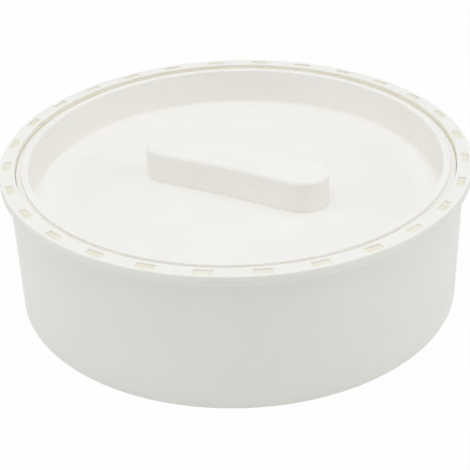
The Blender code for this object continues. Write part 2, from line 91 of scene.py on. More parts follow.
def mouldedPlastic(name, look):
    # Injection moulded natural polyethylene: milky, a little waxy, with clouds and a few specks
    material, tree = newMaterial(name)
    place = addNode(tree, "ShaderNodeTexCoord").outputs["Object"]
    clouds = addNode(tree, "ShaderNodeTexNoise",
                     {"Scale": perMetre(look["cloudSize"]), "Detail": 3.0, "Roughness": 0.5},
                     {"Vector": place})
    cloudMix = addNode(tree, "ShaderNodeMapRange", noiseSpan, {"Value": clouds.outputs["Fac"]})
    plain = addNode(tree, "ShaderNodeMix",
                    {"data_type": "RGBA", 6: hexToLinear(look["colour"]),
                     7: hexToLinear(look["cloudColour"])}, {0: cloudMix.outputs["Result"]})
    cells = addNode(tree, "ShaderNodeTexVoronoi", {"Scale": perMetre(look["speckSpacing"])},
                    {"Vector": place})
    chosen = addNode(tree, "ShaderNodeSeparateColor", {}, {"Color": cells.outputs["Color"]})
    # A speck's reach, as a share of the spacing, differs from cell to cell and is nothing in most
    reach = addNode(tree, "ShaderNodeMapRange",
                    {"From Min": 1.0 - look["speckShare"], "From Max": 1.0,
                     "To Max": look["speckSize"] / look["speckSpacing"]},
                    {"Value": chosen.outputs["Red"]})
    inside = addNode(tree, "ShaderNodeMath", {"operation": "LESS_THAN"},
                     {0: cells.outputs["Distance"], 1: reach.outputs["Result"]})
    speckAmount = addNode(tree, "ShaderNodeMath",
                          {"operation": "MULTIPLY", 1: look["speckStrength"]},
                          {0: inside.outputs["Value"]})
    coloured = addNode(tree, "ShaderNodeMix",
                       {"data_type": "RGBA", 7: hexToLinear(look["speckColour"])},
                       {0: speckAmount.outputs["Value"], 6: plain.outputs[2]})
    # The cavity's fine spark-eroded grain, and slow waves where thick plastic shrank as it set
    grain = addNode(tree, "ShaderNodeTexNoise",
                    {"Scale": perMetre(look["grainSize"]), "Detail": 2.0}, {"Vector": place})
    waves = addNode(tree, "ShaderNodeTexNoise",
                    {"Scale": perMetre(look["waveSize"]), "Detail": 1.0}, {"Vector": place})
    waveBump = addNode(tree, "ShaderNodeBump",
                       {"Strength": 1.0, "Distance": look["waveDepth"] * millimetre},
                       {"Height": waves.outputs["Fac"]})
    grainBump = addNode(tree, "ShaderNodeBump",
                        {"Strength": 1.0, "Distance": look["grainDepth"] * millimetre},
                        {"Height": grain.outputs["Fac"], "Normal": waveBump.outputs["Normal"]})
    gloss = addNode(tree, "ShaderNodeMapRange",
                    {"To Min": look["roughness"] - look["unevenness"],
                     "To Max": look["roughness"] + look["unevenness"]},
                    {"Value": grain.outputs["Fac"]})
    shader = addNode(tree, "ShaderNodeBsdfPrincipled",
                     {"IOR": look["ior"], "Metallic": 0.0,
                      "Subsurface Weight": look["milkiness"],
                      "Subsurface Radius": look["milkRadius"],
                      "Subsurface Scale": look["milkDepth"] * millimetre},
                     {"Base Color": coloured.outputs[2], "Roughness": gloss.outputs["Result"],
                      "Normal": grainBump.outputs["Normal"]})
    addNode(tree, "ShaderNodeOutputMaterial", {}, {"Surface": shader.outputs["BSDF"]})
    return material


def netPlastic(name, look):
    # Unbleached polyamide, drawn into netting: creamier and duller than the mouldings
    material, tree = newMaterial(name)
    place = addNode(tree, "ShaderNodeTexCoord").outputs["Object"]
    tint = addNode(tree, "ShaderNodeTexNoise",
                   {"Scale": perMetre(look["tintSize"]), "Detail": 2.0}, {"Vector": place})
    fibre = addNode(tree, "ShaderNodeTexNoise",
                    {"Scale": perMetre(look["fibreSize"]), "Detail": 3.0}, {"Vector": place})
    shade = addNode(tree, "ShaderNodeMapRange", noiseSpan, {"Value": tint.outputs["Fac"]})
    coloured = addNode(tree, "ShaderNodeMix",
                       {"data_type": "RGBA", 6: hexToLinear(look["colour"]),
                        7: hexToLinear(look["deepColour"])}, {0: shade.outputs["Result"]})
    bump = addNode(tree, "ShaderNodeBump",
                   {"Strength": 1.0, "Distance": look["fibreDepth"] * millimetre},
                   {"Height": fibre.outputs["Fac"]})
    gloss = addNode(tree, "ShaderNodeMapRange",
                    {"To Min": look["roughness"] - look["unevenness"],
                     "To Max": look["roughness"] + look["unevenness"]},
                    {"Value": fibre.outputs["Fac"]})
    shader = addNode(tree, "ShaderNodeBsdfPrincipled",
                     {"IOR": look["ior"], "Metallic": 0.0,
                      "Subsurface Weight": look["milkiness"],
                      "Subsurface Radius": look["milkRadius"],
                      "Subsurface Scale": look["milkDepth"] * millimetre},
                     {"Base Color": coloured.outputs[2], "Roughness": gloss.outputs["Result"],
                      "Normal": bump.outputs["Normal"]})
    addNode(tree, "ShaderNodeOutputMaterial", {}, {"Surface": shader.outputs["BSDF"]})
    return material


# Vat: satin natural polyethylene, so its white is soft and its shine broad. Sizes and depths are
# in millimetres, the rest are shares. Real grain is about 0.2 mm, drawn at 1.2 mm so that it shows.
vatFinish = {
    "colour": "#f8f8f3", "cloudColour": "#f6f6f1", "cloudSize": 60.0,
    "speckColour": "#cfccc0", "speckSpacing": 18.0, "speckShare": 0.12, "speckSize": 0.40,
    "speckStrength": 0.35,
    "grainSize": 1.2, "grainDepth": 0.010, "waveSize": 40.0, "waveDepth": 0.10,
    "ior": 1.53, "roughness": 0.52, "unevenness": 0.05,
    "milkiness": 0.12, "milkRadius": (1.0, 0.90, 0.75), "milkDepth": 2.5,
}
# Ring: thin and quickly cooled, so an even, slightly warmer white
ringFinish = {**vatFinish, "colour": "#fcfaf4", "cloudColour": "#faf8f1", "cloudSize": 25.0,
              "speckShare": 0.10, "waveDepth": 0.03}
# Dish: a clean white with fine specks, and nearly flat
dishFinish = {**vatFinish, "colour": "#faf8f3", "cloudColour": "#f8f6f1", "cloudSize": 35.0,
              "speckShare": 0.25, "waveSize": 40.0, "waveDepth": 0.02}
# Handle: the same plastic with a little more shine, where hands rub it
handleFinish = {**vatFinish, "colour": "#fbf9f4", "cloudColour": "#f9f7f2", "cloudSize": 20.0,
                "speckShare": 0.10, "waveDepth": 0.04, "roughness": 0.46}
# Clamp rings and studs: a tougher grade of the same family, so a shade greyer and warmer
clampFinish = {**vatFinish, "colour": "#efede4", "cloudColour": "#eceade", "cloudSize": 15.0,
               "speckShare": 0.08, "waveDepth": 0.02, "roughness": 0.48}
# Nets: unbleached polyamide threads about half a millimetre thick, cream and dull beside the
# mouldings. Their fibre is drawn at 0.8 mm so that it shows.
netFinish = {
    "colour": "#f8f3e3", "deepColour": "#f3ecd9", "tintSize": 18.0,
    "fibreSize": 0.8, "fibreDepth": 0.03, "ior": 1.53, "roughness": 0.55, "unevenness": 0.08,
    "milkiness": 0.4, "milkRadius": (1.0, 0.9, 0.7), "milkDepth": 1.5,
}
vatPlastic = mouldedPlastic("naturalPolyethyleneVat", vatFinish)
ringPlastic = mouldedPlastic("naturalPolyethyleneRing", ringFinish)
dishPlastic = mouldedPlastic("naturalPolyethyleneDish", dishFinish)
handlePlastic = mouldedPlastic("naturalPolyethyleneHandle", handleFinish)
clampPlastic = mouldedPlastic("warmPolyethyleneClamp", clampFinish)
creamNet = netPlastic("creamPolyamideNet", netFinish)
print("finishes made")


# Shared shapes

def roundedOutline(corners, closed=True, steps=5):
    # Corners are (radius, height, fillet). The ends of an open outline stay as they are
    points = []
    for index, (radius, height, fillet) in enumerate(corners):
        here = Vector((radius, height))
        if not fillet or (not closed and index in (0, len(corners) - 1)):
            points.append(here)
            continue
        toBefore = (Vector(corners[index - 1][:2]) - here).normalized()
        toAfter = (Vector(corners[(index + 1) % len(corners)][:2]) - here).normalized()
        half = toBefore.angle(toAfter) / 2
        centre = here + (toBefore + toAfter).normalized() * fillet / math.sin(half)
        start = here + toBefore * fillet / math.tan(half) - centre
        end = here + toAfter * fillet / math.tan(half) - centre
        turn = start.angle(end)
        for step in range(steps + 1):
            share = step / steps
            arm = start * math.sin((1 - share) * turn) + end * math.sin(share * turn)
            points.append(centre + arm / math.sin(turn))
    return points


def addTurned(bm, outline, segments, closed=True):
    # Turns (radius, height) points about Z. A point on the axis becomes one vertex
    rings = []
    for radius, height in outline:
        onAxis = radius < samePoint
        steps = range(1 if onAxis else segments)
        rings.append([bm.verts.new((radius * math.cos(fullTurn * step / segments),
                                    radius * math.sin(fullTurn * step / segments), height))
                      for step in steps])
    pairs = list(zip(rings, rings[1:])) + ([(rings[-1], rings[0])] if closed else [])
    for upper, lower in pairs:
        for step in range(segments):
            corners = [upper[step % len(upper)], upper[(step + 1) % segments % len(upper)],
                       lower[(step + 1) % segments % len(lower)], lower[step % len(lower)]]
            bm.faces.new(list(dict.fromkeys(corners)))


def pieceFrom(name, bm):
    bmesh.ops.recalc_face_normals(bm, faces=bm.faces)
    mesh = bpy.data.meshes.new(name)
    bm.to_mesh(mesh)
    bm.free()
    piece = bpy.data.objects.new(name, mesh)
    bpy.context.scene.collection.objects.link(piece)
    return piece


def turnedPiece(name, outline, segments=roundSteps, closed=True):
    bm = bmesh.new()
    addTurned(bm, outline, segments, closed)
    return pieceFrom(name, bm)


def roundedBars(name, count, start, end, width, bottom, top, edge):
    # Radial bars with rounded edges, for joining to a turned piece
    bm = bmesh.new()
    for step in range(count):
        place = Matrix.Rotation(fullTurn * step / count, 4, "Z")
        place @= Matrix.Translation(((start + end) / 2, 0.0, (bottom + top) / 2))
        place @= Matrix.Diagonal((end - start, width, top - bottom, 1.0))
        bmesh.ops.create_cube(bm, size=1.0, matrix=place)
    bmesh.ops.bevel(bm, geom=bm.edges[:], offset=edge, segments=2, profile=0.5, affect="EDGES")
    return pieceFrom(name, bm)


def flaredPins(name, count, pinRadius, flare, bottom, top, circle, phase=0.0, sides=20):
    # Upright pins that open out by flare at both ends, so that a hole cut by one gets a broken edge
    bm = bmesh.new()
    outline = [(0.0, top + flare), (pinRadius + 2 * flare, top + flare), (pinRadius, top - flare),
               (pinRadius, bottom + flare), (pinRadius + 2 * flare, bottom - flare),
               (0.0, bottom - flare)]
    for step in range(count):
        made = bmesh.new()
        addTurned(made, outline, sides, closed=False)
        place = Matrix.Rotation(phase + fullTurn * step / count, 4, "Z")
        place @= Matrix.Translation((circle, 0.0, 0.0))
        bmesh.ops.transform(made, matrix=place, verts=made.verts)
        mesh = bpy.data.meshes.new(name)
        made.to_mesh(mesh)
        made.free()
        bm.from_mesh(mesh)
        bpy.data.meshes.remove(mesh)
    return pieceFrom(name, bm)


def applied(piece):
    # The piece with its modifiers made final and doubled points joined
    depsgraph = bpy.context.evaluated_depsgraph_get()
    mesh = bpy.data.meshes.new_from_object(piece.evaluated_get(depsgraph))
    bm = bmesh.new()
    bm.from_mesh(mesh)
    bmesh.ops.remove_doubles(bm, verts=bm.verts, dist=samePoint)
    bm.to_mesh(mesh)
    bm.free()
    piece.modifiers.clear()
    piece.data = mesh


def combine(piece, operation, tools):
    for tool in tools:
        modifier = piece.modifiers.new(operation.lower(), "BOOLEAN")
        modifier.operation = operation
        modifier.solver = "EXACT"
        modifier.object = tool
    applied(piece)
    for tool in tools:
        bpy.data.objects.remove(tool)


def dress(piece, material, body, node, sharpFrom=35.0):
    # Shading, finish, and the CAD node and body that the piece stands for
    piece.data.materials.clear()
    piece.data.materials.append(material)
    for polygon in piece.data.polygons:
        polygon.material_index = 0
    piece.data.shade_smooth()
    piece.data.set_sharp_from_angle(angle=math.radians(sharpFrom))
    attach(piece, body)
    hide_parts(node)
    print("made", piece.name, len(piece.data.polygons), "faces")


# Vat: wall, flange, floor and foot in one turned moulding, with ribs and drains

vatSizes = {
    "wallTop": 0.1546, "wallBase": 0.1543, "wall": 0.0032, "flange": 0.0021, "seat": 0.1577,
    "floor": 0.0050, "footWidth": 0.0078, "footHeight": 0.0050,
    "floorFillet": 0.0012, "mouthRound": 0.0004, "seatRound": 0.0003, "flangeRound": 0.00006,
    "flangeUnderRound": 0.0007, "flangeFillet": 0.0015, "baseRound": 0.0007, "footRound": 0.0006,
    "footFillet": 0.0012,
    "wallRib": 0.0005, "wallRibWidth": 0.0030, "wallRibs": 28, "wallRibRound": 0.0002,
    "floorRib": 0.0010, "floorRibWidth": 0.0020, "floorRibs": 14, "floorRibRound": 0.0003,
    "ribStart": 0.0140, "underRibWidth": 0.0030, "underRibLift": 0.0010, "underRibRound": 0.0004,
    "hub": 0.0240, "middleRing": 0.0880, "ringSetBack": 0.0005, "ringSteps": 112,
    "drain": 0.0020, "drainEdge": 0.0003, "innerDrains": 0.0560, "outerDrains": 0.1180,
    "studHole": 0.0029, "studHoleEdge": 0.0002,
    "bury": 0.0006,   # how far joined parts run into each other
    "deepBury": 1.6,   # times that, where their ends would else lie in one plane
}


def makeVat(s):
    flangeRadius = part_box("mould_body")[1].x
    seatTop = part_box("mould_body")[1].z   # the raised part of the flange, under the net
    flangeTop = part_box("rim_ring")[0].z - clearance
    flangeUnder = flangeTop - s["flange"]
    floorTop = s["footHeight"] + s["floor"]
    boreTop, boreBase = s["wallTop"] - s["wall"], s["wallBase"] - s["wall"]
    footInner = s["wallBase"] - s["footWidth"]
    outline = roundedOutline([
        (0.0, floorTop, 0.0),
        (boreBase, floorTop, s["floorFillet"]),
        (boreTop, seatTop, s["mouthRound"]),
        (s["seat"], seatTop, s["seatRound"]),
        (s["seat"], flangeTop, 0.0),
        (flangeRadius, flangeTop, s["flangeRound"]),
        (flangeRadius, flangeUnder, s["flangeUnderRound"]),
        (s["wallTop"], flangeUnder, s["flangeFillet"]),
        (s["wallBase"], 0.0, s["baseRound"]),
        (footInner, 0.0, s["footRound"]),
        (footInner, s["footHeight"], s["footFillet"]),
        (0.0, s["footHeight"], 0.0)], closed=False)
    vat = turnedPiece("vat", outline, closed=False)
    halfPitch = math.pi / s["floorRibs"]
    ribFace = boreBase - s["wallRib"]
    added = [
        roundedBars("floorRibs", s["floorRibs"], s["ribStart"], boreBase + s["bury"],
                    s["floorRibWidth"], floorTop - s["bury"], floorTop + s["floorRib"],
                    s["floorRibRound"]),
        roundedBars("wallRibs", s["wallRibs"], ribFace, boreTop + s["bury"], s["wallRibWidth"],
                    floorTop - s["deepBury"] * s["bury"], seatTop - s["bury"],
                    s["wallRibRound"]),
        roundedBars("underRibs", s["floorRibs"], s["hub"], footInner + s["bury"],
                    s["underRibWidth"], s["underRibLift"], s["footHeight"] + s["bury"],
                    s["underRibRound"])]
    ringBottom = s["underRibLift"] + s["ringSetBack"]
    ringRoot = s["footHeight"] + s["deepBury"] * s["bury"]
    for name, radius in (("hubRing", s["hub"]), ("middleRing", s["middleRing"])):
        inner, outer = radius - s["underRibWidth"] / 2, radius + s["underRibWidth"] / 2
        added.append(turnedPiece(name, roundedOutline([
            (outer, ringRoot, 0.0), (outer, ringBottom, s["underRibRound"]),
            (inner, ringBottom, s["underRibRound"]), (inner, ringRoot, 0.0)], steps=2),
            segments=s["ringSteps"]))
    combine(vat, "UNION", added)
    drains = [
        flaredPins("innerDrains", s["floorRibs"], s["drain"], s["drainEdge"], s["footHeight"],
                   floorTop, s["innerDrains"], halfPitch),
        flaredPins("outerDrains", 2 * s["floorRibs"], s["drain"], s["drainEdge"], s["footHeight"],
                   floorTop, s["outerDrains"], halfPitch / 2),
        flaredPins("studHole", 1, s["studHole"], s["studHoleEdge"], s["footHeight"], floorTop, 0.0)]
    combine(vat, "DIFFERENCE", drains)
    dress(vat, vatPlastic, "vat", "mould_body")


makeVat(vatSizes)


# Rim ring: clamps the side net on the flange, with a row of windows over the net's turned-out top

ringSizes = {
    "lip": 0.1495, "lipWidth": 0.0027, "outer": 0.1597, "skirt": 0.0017, "plate": 0.0008,
    "edgeRound": 0.0010, "lipRound": 0.0005, "lipUnderRound": 0.0003, "skirtRound": 0.00002,
    "seam": 0.00001,
    "windows": 28, "windowWidth": 0.0049, "windowLength": 0.0120, "windowRound": 0.0004,
    "firstWindow": 5.16,   # degrees from +X to the middle of the first window
    "windowSteps": 6, "landSteps": 10,
    "sharpFrom": 60,   # degrees between two faces that make an edge to round
}


def makeRimRing(s):
    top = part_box("rim_ring")[1].z
    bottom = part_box("rim_ring")[0].z - clearance + s["seam"]   # pressed down on the flange
    under = top - s["plate"]
    windowIn = s["lip"] + s["lipWidth"]
    windowOut = windowIn + s["windowWidth"]
    skirtInner = s["outer"] - s["skirt"]
    corners = [
        (windowIn, top, 0.0), (windowOut, top, 0.0),
        (s["outer"], top, s["edgeRound"]), (s["outer"], bottom, s["skirtRound"]),
        (skirtInner, bottom, s["skirtRound"]), (skirtInner, under, 0.0),
        (windowOut, under, 0.0), (windowIn, under, 0.0),
        (s["lip"], under, s["lipUnderRound"]), (s["lip"], top, s["lipRound"])]
    outline = roundedOutline(corners)
    cuts = [index for index, point in enumerate(outline)
            if min(abs(point[0] - windowIn), abs(point[0] - windowOut)) < samePoint]
    topIn, topOut, underOut, underIn = cuts
    pitch = fullTurn / s["windows"]
    windowAngle = s["windowLength"] / (windowIn + s["windowWidth"] / 2)
    stations = []   # (angle, whether the step that starts here is open)
    for window in range(s["windows"]):
        start = math.radians(s["firstWindow"]) + window * pitch - windowAngle / 2
        stations += [(start + windowAngle * step / s["windowSteps"], True)
                     for step in range(s["windowSteps"])]
        stations += [(start + windowAngle + (pitch - windowAngle) * step / s["landSteps"], False)
                     for step in range(s["landSteps"])]
    bm = bmesh.new()
    grid = [[bm.verts.new((radius * math.cos(angle), radius * math.sin(angle), height))
             for radius, height in outline] for angle, isOpen in stations]
    for index, (angle, isOpen) in enumerate(stations):
        here, there = grid[index], grid[(index + 1) % len(grid)]
        for point in range(len(outline)):
            following = (point + 1) % len(outline)
            if isOpen and point in (topIn, underOut):
                continue
            bm.faces.new((here[point], here[following], there[following], there[point]))
        if isOpen:   # the two long walls of the window
            bm.faces.new((here[topIn], here[underIn], there[underIn], there[topIn]))
            bm.faces.new((here[topOut], here[underOut], there[underOut], there[topOut]))
        if isOpen != stations[index - 1][1]:   # an end wall
            bm.faces.new((here[topIn], here[topOut], here[underOut], here[underIn]))
    bmesh.ops.recalc_face_normals(bm, faces=bm.faces)
    # The windows' corners and upper edges are rounded, and the lower edges lie sharp on the net
    edges = [edge for edge in bm.edges
             if edge.calc_face_angle(0.0) > math.radians(s["sharpFrom"])
             and max(end.co.z for end in edge.verts) > top - samePoint]
    bmesh.ops.bevel(bm, geom=edges, offset=s["windowRound"], segments=3, profile=0.5,
                    affect="EDGES")
    bmesh.ops.remove_doubles(bm, verts=bm.verts, dist=samePoint)
    ring = pieceFrom("rimRing", bm)
    dress(ring, ringPlastic, "vat", "rim_ring")


makeRimRing(ringSizes)


# Nets: two crossing layers of thin threads, welded where they cross, between plain margins.
# Real thread spacing is about 1 mm. It is drawn at 2.4 mm so that the threads show.

netSizes = {
    "spacing": 0.0024, "threadWidth": 0.0010, "threadThickness": 0.00055, "threadSides": 8,
    "inset": 0.00003, "hub": 0.0110, "hubSteps": 48, "margin": 0.0110, "holeRadius": 0.0029,
    "edge": 0.0003, "floorOuter": 0.1503,
    "sleeveInner": 0.1493, "turnOut": 0.1574, "turnRound": 0.0008, "sleeveTopBand": 0.0080,
    "sleeveFootBand": 0.0110, "lift": 0.00025, "hoopSteps": 196, "hoopSides": 6,
    "cupInner": 0.1465, "cupOuter": 0.1475, "cupInnerRound": 0.0005, "cupOuterRound": 0.0008,
    "sharpFrom": 50.0,   # degrees, so that a thread's sides shade as one round
}


def addThread(bm, begin, finish, across, up, s):
    # A straight thread of flattened round section from begin to finish
    sides = s["threadSides"]
    angles = [fullTurn * side / sides for side in range(sides)]
    section = [(s["threadWidth"] / 2 * math.cos(angle), s["threadThickness"] / 2 * math.sin(angle))
               for angle in angles]
    ends = [[bm.verts.new(centre + across * wide + up * thick) for wide, thick in section]
            for centre in (begin, finish)]
    for side in range(sides):
        following = (side + 1) % sides
        bm.faces.new((ends[0][side], ends[0][following], ends[1][following], ends[1][side]))
    bm.faces.new(ends[0])
    bm.faces.new(ends[1])


def addNetFloor(bm, outer, bottom, top, s):
    # Threads of both layers, cut off inside the margin and round the hub
    reach = outer - s["margin"] + s["threadWidth"]
    hubReach = s["hub"] - s["threadWidth"]
    low = Vector((0.0, 0.0, bottom + s["inset"] + s["threadThickness"] / 2))
    high = Vector((0.0, 0.0, top - s["inset"] - s["threadThickness"] / 2))
    rightward, backward, upward = Vector((1, 0, 0)), Vector((0, 1, 0)), Vector((0, 0, 1))
    count = int(reach / s["spacing"])
    for along, across, level in ((rightward, backward, low), (backward, rightward, high)):
        for step in range(-count, count + 1):
            offset = step * s["spacing"]
            half = math.sqrt(max(reach ** 2 - offset ** 2, 0.0))
            if half < 2 * s["spacing"]:
                continue
            spans = [(-half, half)]
            if abs(offset) < hubReach:
                gap = math.sqrt(hubReach ** 2 - offset ** 2)
                spans = [(-half, -gap), (gap, half)]
            for begin, finish in spans:
                base = level + across * offset
                addThread(bm, base + along * begin, base + along * finish, across, upward, s)
    hub = [(s["holeRadius"], top, 0.0), (s["hub"], top, s["edge"]), (s["hub"], bottom, s["edge"]),
           (s["holeRadius"], bottom, 0.0)]
    addTurned(bm, roundedOutline(hub, steps=2), s["hubSteps"])


def makeFloorNet(s):
    low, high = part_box("floor_net")
    bm = bmesh.new()
    addNetFloor(bm, s["floorOuter"], low.z, high.z, s)
    rim = [(s["floorOuter"] - s["margin"], high.z, s["edge"]), (s["floorOuter"], high.z, s["edge"]),
           (s["floorOuter"], low.z, s["edge"]), (s["floorOuter"] - s["margin"], low.z, s["edge"])]
    addTurned(bm, roundedOutline(rim, steps=2), roundSteps)
    dress(pieceFrom("floorNet", bm), creamNet, "vat", "floor_net", s["sharpFrom"])


def makeSideNet(s):
    low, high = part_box("side_net")
    inner = s["sleeveInner"]
    outer = inner + netThickness
    top = high.z + s["lift"]   # drawn up against the ring by the clamping
    bandBottom = top - netThickness - s["sleeveTopBand"]
    bandTop = low.z + s["sleeveFootBand"]
    bm = bmesh.new()
    collar = [(inner, top, s["turnRound"]), (s["turnOut"], top, s["edge"]),
              (s["turnOut"], top - netThickness, s["edge"]), (outer, top - netThickness, 0.0),
              (outer, bandBottom, s["edge"]), (inner, bandBottom, s["edge"])]
    hem = [(inner, bandTop, s["edge"]), (outer, bandTop, s["edge"]),
           (outer, low.z, s["edge"]), (inner, low.z, s["edge"])]
    for band in (collar, hem):
        addTurned(bm, roundedOutline(band, steps=2), roundSteps)
    hoopRadius = inner + s["inset"] + s["threadThickness"] / 2
    postRadius = outer - s["inset"] - s["threadThickness"] / 2
    posts = int(fullTurn * inner / s["spacing"])
    for step in range(posts):
        angle = fullTurn * step / posts
        outward = Vector((math.cos(angle), math.sin(angle), 0.0))
        sideways = Vector((-outward.y, outward.x, 0.0))
        foot = outward * postRadius
        addThread(bm, foot + Vector((0, 0, bandTop - s["threadWidth"])),
                  foot + Vector((0, 0, bandBottom + s["threadWidth"])), sideways, outward, s)
    hoops = int((bandBottom - bandTop) / s["spacing"])
    angles = [fullTurn * side / s["hoopSides"] for side in range(s["hoopSides"])]
    for step in range(1, hoops + 1):
        height = bandTop + (bandBottom - bandTop) * step / (hoops + 1)
        section = [(hoopRadius + s["threadThickness"] / 2 * math.cos(angle),
                    height + s["threadWidth"] / 2 * math.sin(angle)) for angle in angles]
        addTurned(bm, section, s["hoopSteps"])
    dress(pieceFrom("sideNet", bm), creamNet, "vat", "side_net", s["sharpFrom"])


def makeFollowerNet(s):
    low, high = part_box("follower_net")
    floorTop = low.z + netThickness
    bm = bmesh.new()
    addNetFloor(bm, s["cupOuter"], low.z, floorTop, s)
    bandInner = s["cupOuter"] - s["margin"]
    cup = [(bandInner, floorTop, s["edge"]), (s["cupInner"], floorTop, s["cupInnerRound"]),
           (s["cupInner"], high.z, s["edge"]), (s["cupOuter"], high.z, s["edge"]),
           (s["cupOuter"], low.z, s["cupOuterRound"]), (bandInner, low.z, s["edge"])]
    addTurned(bm, roundedOutline(cup, steps=2), roundSteps)
    dress(pieceFrom("followerNet", bm), creamNet, "follower", "follower_net",
          s["sharpFrom"])


makeFloorNet(netSizes)
makeSideNet(netSizes)
makeFollowerNet(netSizes)


# Rings and studs that hold the nets, and round the cheese's edges

clampSizes = {
    "cornerOuter": 0.1490, "cornerRound": 0.0060, "feather": 0.0008, "edge": 0.00025,
    "snapOuter": 0.1490, "snapInner": 0.1478, "snapLip": 0.1457, "lipHeight": 0.0012,
    "studHead": 0.0080, "studHeadHeight": 0.0015, "studShank": 0.0026, "studSteps": 64,
    "domeSteps": 8, "tailEdge": 0.8,   # the tail's dome starts at this share of its height
}


def hollowArc(centreRadius, centreHeight, size, startAngle, endAngle, steps=12):
    # The hollow quarter round that shapes the cheese's edge
    angles = [math.radians(startAngle + (endAngle - startAngle) * step / steps)
              for step in range(steps + 1)]
    return [(centreRadius + size * math.cos(angle), centreHeight + size * math.sin(angle))
            for angle in angles]


def makeCornerRing(s):
    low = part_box("corner_ring")[0]
    arcRadius = s["cornerOuter"] - s["feather"] - s["cornerRound"]
    arcHeight = low.z + s["feather"] + s["cornerRound"]
    outline = roundedOutline([
        (s["cornerOuter"], arcHeight, 0.0), (s["cornerOuter"], low.z, s["edge"]),
        (arcRadius, low.z, 0.0)], closed=False)
    outline += hollowArc(arcRadius, arcHeight, s["cornerRound"], -90, 0)
    dress(turnedPiece("cornerRing", outline), clampPlastic, "vat", "corner_ring")


def makeSnapRing(s):
    low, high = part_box("follower_edge_ring")
    toeTop = low.z + s["cornerRound"] + s["feather"]
    arcRadius = s["snapOuter"] - s["feather"] - s["cornerRound"]
    lipBottom = high.z - s["lipHeight"]
    outline = roundedOutline([
        (arcRadius, toeTop, 0.0), (s["snapInner"], toeTop, 0.0), (s["snapInner"], lipBottom, 0.0),
        (s["snapLip"], lipBottom, s["edge"]), (s["snapLip"], high.z, s["edge"]),
        (s["snapOuter"], high.z, s["edge"]), (s["snapOuter"], low.z, 0.0)], closed=False)
    outline += hollowArc(arcRadius, low.z, s["cornerRound"], 0, 90)[:-1]
    dress(turnedPiece("snapRing", outline), clampPlastic, "follower",
          "follower_edge_ring")


def makeStud(name, node, body, headUp, s):
    # A rivet stud: a low domed head on the net and a smaller one behind
    low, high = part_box(node)
    head, headHeight, shank = s["studHead"], s["studHeadHeight"], s["studShank"]
    grip = high.z - low.z - 2 * headHeight
    angles = [step * math.pi / (2 * s["domeSteps"]) for step in range(s["domeSteps"])]
    dome = [(head * math.sin(angle), grip + headHeight * math.cos(angle)) for angle in angles]
    tail = [(head / 2, 0.0), (shank, -headHeight * s["tailEdge"]),
            (shank / 2, -headHeight), (0.0, -headHeight)]
    outline = dome + [(head, grip), (shank, grip), (shank, 0.0)] + tail
    if headUp:
        outline = [(radius, low.z + headHeight + height) for radius, height in outline]
    else:
        outline = [(radius, high.z - headHeight - height) for radius, height in outline]
    stud = turnedPiece(name, outline, s["studSteps"], closed=False)
    dress(stud, clampPlastic, body, node)


makeCornerRing(clampSizes)
makeSnapRing(clampSizes)
makeStud("floorNetStud", "floor_net_stud", "vat", True, clampSizes)
makeStud("followerNetStud", "follower_net_stud", "follower", False, clampSizes)


# Follower dish: turned, with ribs beneath and holes for the handle's pegs

dishSizes = {
    "outer": 0.1454, "wall": 0.0050, "depth": 0.0265, "floor": 0.0050, "fillet": 0.0020,
    "rimRound": 0.0007, "filletSteps": 8,
    "guide": 0.1490, "guideDrop": 0.0022, "guideThickness": 0.0020, "guideFillet": 0.0006,
    "guideRound": 0.0003, "band": 0.1462, "bandHeight": 0.0057, "bandRound": 0.0003,
    "baseRound": 0.0004,
    "rib": 0.0010, "ribWidth": 0.0020, "ribRound": 0.0003, "ribs": 14, "ribStart": 0.0140,
    "bury": 0.0005,
    "pegHole": 0.0043, "pegHoleEdge": 0.0001, "pegSpacing": 0.0880,
    "studHole": 0.0029, "studHoleEdge": 0.0002,
}
handleTurn = math.radians(-28)   # from +X, seen from above


def makeDish(s):
    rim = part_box("follower_plate")[1].z
    floorTop = rim - s["depth"]
    underside = floorTop - s["floor"]
    bandTop = underside + s["bandHeight"]
    inner = s["outer"] - s["wall"]
    guideTop = rim - s["guideDrop"]
    guideUnder = guideTop - s["guideThickness"]
    outline = roundedOutline([
        (0.0, floorTop, 0.0), (inner, floorTop, s["fillet"]), (inner, rim, s["rimRound"]),
        (s["outer"], rim, s["rimRound"]), (s["outer"], guideTop, s["guideFillet"]),
        (s["guide"], guideTop, s["guideRound"]), (s["guide"], guideUnder, s["guideRound"]),
        (s["outer"], guideUnder, s["guideFillet"]),
        (s["outer"], bandTop, s["bandRound"]), (s["band"], bandTop, s["bandRound"]),
        (s["band"], underside, s["baseRound"]), (0.0, underside, 0.0)],
        closed=False, steps=s["filletSteps"])
    dish = turnedPiece("dish", outline, closed=False)
    combine(dish, "UNION", [
        roundedBars("dishRibs", s["ribs"], s["ribStart"], s["band"] - 2 * clearance,
                    s["ribWidth"], underside - s["rib"], underside + s["bury"], s["ribRound"])])
    combine(dish, "DIFFERENCE", [
        flaredPins("pegHoles", 2, s["pegHole"], s["pegHoleEdge"], underside, floorTop,
                   s["pegSpacing"] / 2, handleTurn),
        flaredPins("dishStudHole", 1, s["studHole"], s["studHoleEdge"], underside, floorTop, 0.0)])
    dress(dish, dishPlastic, "follower", "follower_plate")


makeDish(dishSizes)


# Bar handle: round-ended and waisted, cored from below, with cross ribs, bosses and two pegs

handleSizes = {
    "length": 0.1370, "width": 0.0355, "waist": 0.0016, "edgeRound": 0.0030, "wall": 0.0035,
    "rib": 0.0025, "ribSpacing": 0.0560, "ribRound": 0.0002, "ribLift": 0.0004,
    "peg": 0.0040, "pegSpacing": 0.0880, "pegSides": 24, "pegRoot": 0.0011,
    "seat": 0.0003, "coreStart": 0.0020, "endSteps": 24, "sideSteps": 20, "edgeSteps": 8,
}


